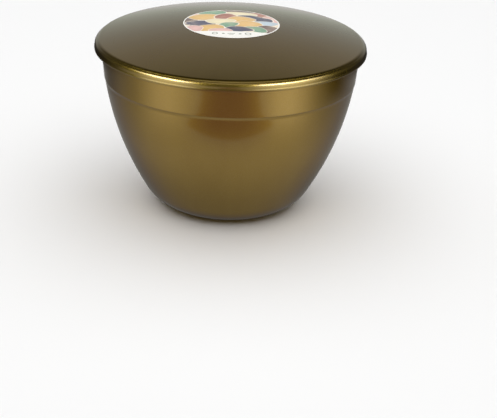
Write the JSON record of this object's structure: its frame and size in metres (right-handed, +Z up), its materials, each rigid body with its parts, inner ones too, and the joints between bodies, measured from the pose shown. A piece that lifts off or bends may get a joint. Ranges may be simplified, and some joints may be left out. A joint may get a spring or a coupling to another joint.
{
  "type": "lidded pudding basin",
  "caption": "Deep tapered plastic mixing and steaming basin with a straight collar under the rim, a domed press-on lid and a round paper label on the lid.",
  "frame": {"origin": "centre of the foot, on the surface the basin stands on", "axes": "+Z up along the axis of the basin; the basin is round, so X and Y have no special direction, and -Y is taken as the front"},
  "size_m": [0.1702, 0.1702, 0.1183],
  "materials": {
    "basin_plastic": "gold metallic-pigmented, semi-gloss",
    "lid_plastic": "gold metallic-pigmented, semi-gloss",
    "label_paper": "printed coated paper, semi-matte"
  },
  "bodies": {
    "basin": {"basin": "basin_plastic"},
    "lid": {"lid": "lid_plastic", "lid_label": "label_paper"}
  },
  "joints": [
    {"name": "lid_lift", "type": "slide", "parent": "basin", "child": "lid", "axis": [0, 0, 1], "range_m": [0, 0.05]}
  ]
}
